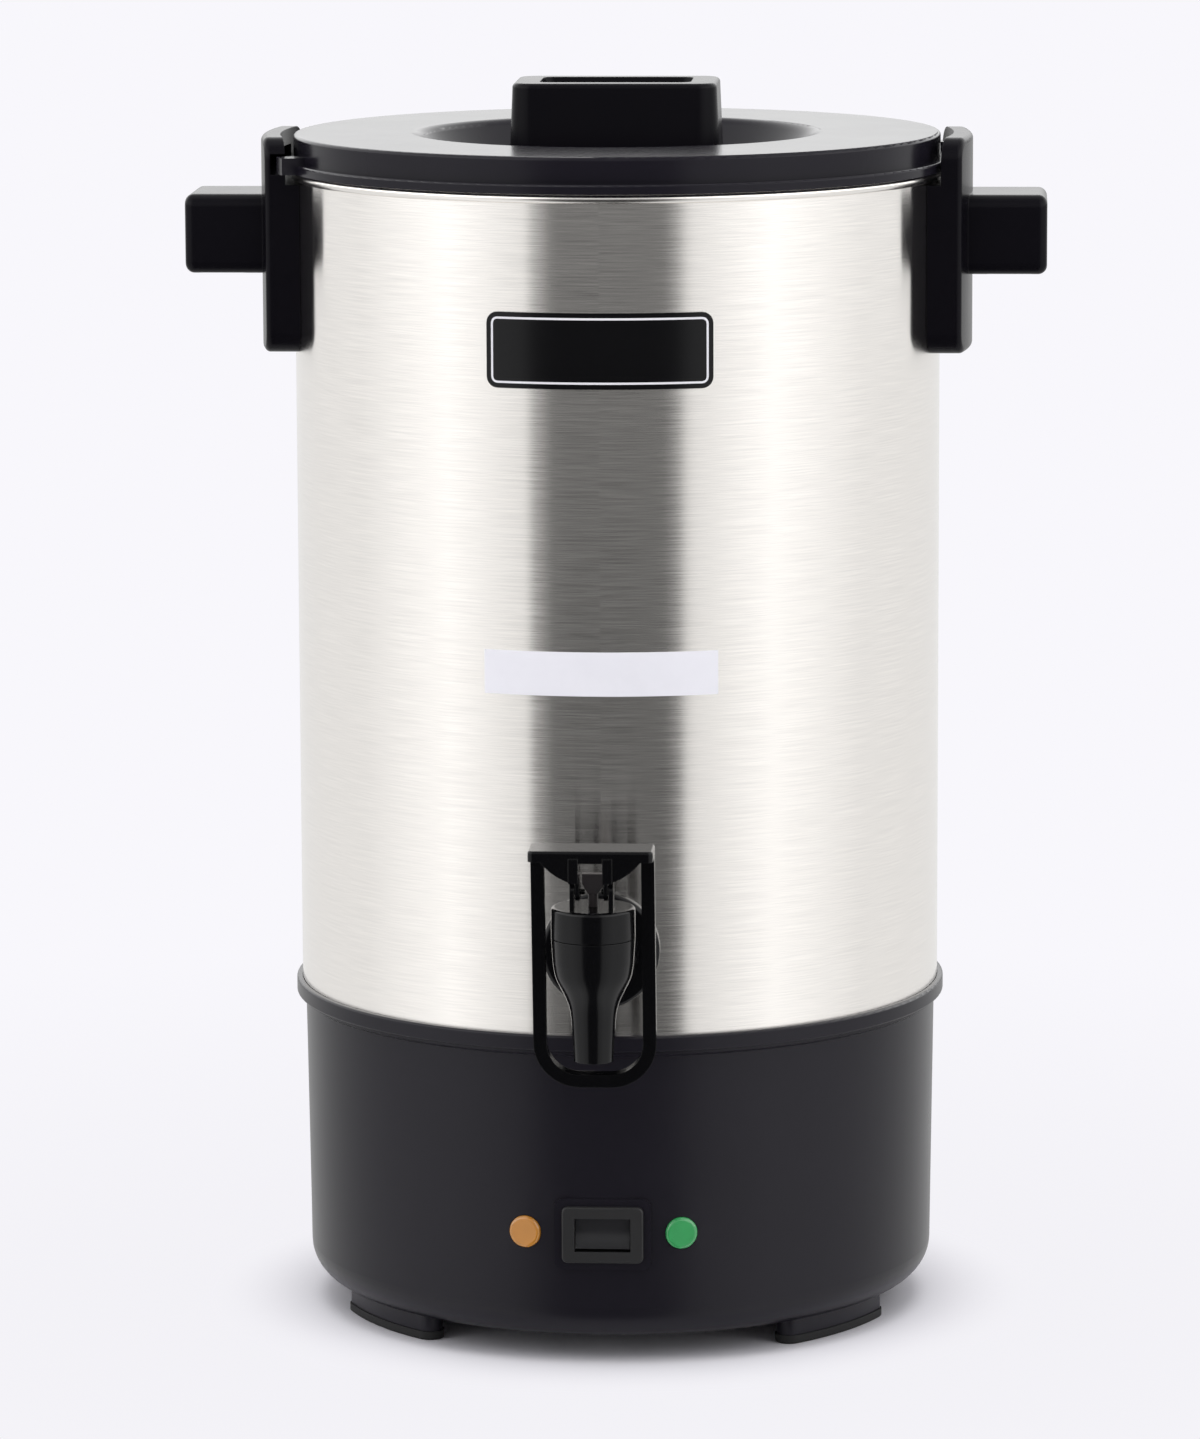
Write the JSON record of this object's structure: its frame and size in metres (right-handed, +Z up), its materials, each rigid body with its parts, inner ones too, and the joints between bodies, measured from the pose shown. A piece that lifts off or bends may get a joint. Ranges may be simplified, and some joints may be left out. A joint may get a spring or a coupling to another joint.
{
  "type": "coffee urn",
  "caption": "Counter-top percolating coffee urn: round steel tank on a black drum base, side handles, dished twist-lock lid with a block knob, and a lever tap with a push loop.",
  "frame": {"origin": "on the ground, on the tank's own axis, in the middle of the circle of the foot pads", "axes": "+Z up along the tank's axis, -Y is the front with the tap, +Y is the back with the power inlet, +X the side of the right handle"},
  "size_m": [0.29, 0.281, 0.4183],
  "materials": {
    "brushed_steel": "circumferential brushing",
    "base_plastic": "black satin moulding",
    "handle_plastic": "black satin moulding",
    "lid_plastic": "black satin moulding",
    "tap_plastic": "black gloss moulding",
    "stem_plastic": "dark moulding",
    "foot_rubber": "moulded",
    "seal_rubber": "translucent silicone",
    "well_aluminium": "turned",
    "pump_aluminium": "drawn",
    "basket_aluminium": "pressed",
    "valve_steel": "polished",
    "bracket_steel": "pressed sheet",
    "screw_steel": "plated",
    "element_sheath": "dull sheath",
    "sensor_body": "pressed cap",
    "cutout_sleeve": "glazed sleeve",
    "block_ceramic": "unglazed",
    "wire_sleeve": "fibre sleeve",
    "inlet_plastic": "moulded",
    "prong_brass": "plated",
    "rocker_plastic": "moulded",
    "lamp_amber": "translucent lens",
    "lamp_green": "translucent lens"
  },
  "bodies": {
    "urn": {"tank": "brushed_steel", "heater_well": "well_aluminium", "well_gasket": "seal_rubber", "well_nut": "well_aluminium", "brew_heater": "element_sheath", "warm_heater": "element_sheath", "thermostat": "sensor_body", "thermal_cutout": "cutout_sleeve", "base_housing": "base_plastic", "foot_pads": "foot_rubber", "base_plate": "base_plastic", "base_screws": "screw_steel", "mounting_ring": "bracket_steel", "ring_screws": "screw_steel", "power_inlet": "inlet_plastic", "inlet_prongs": "prong_brass", "inlet_screws": "screw_steel", "switch_housing": "inlet_plastic", "lamp_brewing": "lamp_amber", "lamp_ready": "lamp_green", "terminal_block": "block_ceramic", "wires": "wire_sleeve", "handle_right": "handle_plastic", "handle_left": "handle_plastic", "handle_washers": "bracket_steel", "handle_screws": "screw_steel", "tap_body": "tap_plastic", "tap_bonnet": "tap_plastic", "tap_washer_outer": "tap_plastic", "tap_washer_inner": "seal_rubber", "tap_nut": "tap_plastic", "valve_spring": "valve_steel"},
    "lever": {"tap_lever": "tap_plastic"},
    "stem": {"valve_stem": "stem_plastic", "seat_cup": "seal_rubber"},
    "pump": {"pump_tube": "pump_aluminium", "pump_foot": "pump_aluminium"},
    "washer": {"pump_valve": "valve_steel"},
    "basket": {"filter_basket": "basket_aluminium", "basket_floor": "basket_aluminium"},
    "spreader": {"spreader": "basket_aluminium"},
    "seal": {"lid_seal": "seal_rubber"},
    "lid": {"lid": "lid_plastic", "knob": "handle_plastic", "knob_screws": "screw_steel"},
    "rocker": {"switch_rocker": "rocker_plastic"}
  },
  "joints": [
    {"name": "tap_lever", "type": "hinge", "parent": "urn", "child": "lever", "pos_m": [0, -0.1585, 0.1706], "axis": [1, 0, 0], "range_deg": [0, 18], "stiffness_Nm_per_rad": 0.04, "springref_deg": -34.38},
    {"name": "valve_stem", "type": "slide", "parent": "urn", "child": "stem", "axis": [0, 0, 1], "range_m": [0, 0.00204], "deforming": ["valve_spring"]},
    {"name": "pump_lift", "type": "slide", "parent": "urn", "child": "pump", "axis": [0, 0, 1], "range_m": [0, 0.285]},
    {"name": "pump_valve_lift", "type": "slide", "parent": "pump", "child": "washer", "axis": [0, 0, 1], "range_m": [0, 0.003]},
    {"name": "basket_lift", "type": "slide", "parent": "pump", "child": "basket", "axis": [0, 0, 1], "range_m": [0, 0.1]},
    {"name": "spreader_lift", "type": "slide", "parent": "basket", "child": "spreader", "axis": [0, 0, 1], "range_m": [0, 0.06]},
    {"name": "lid_lift", "type": "slide", "parent": "spreader", "child": "seal", "axis": [0, 0, 1], "range_m": [0, 0.06]},
    {"name": "lid_turn", "type": "hinge", "parent": "seal", "child": "lid", "pos_m": [0, 0, 0.39], "axis": [0, 0, 1], "range_deg": [-22.4, 0]},
    {"name": "switch_rocker", "type": "hinge", "parent": "urn", "child": "rocker", "pos_m": [0, -0.105, 0.045], "axis": [1, 0, 0], "range_deg": [0, 16]}
  ],
  "couplings": [
    {"joint": "tap_lever", "follows": "valve_stem", "rad_per_m": 153.85}
  ]
}
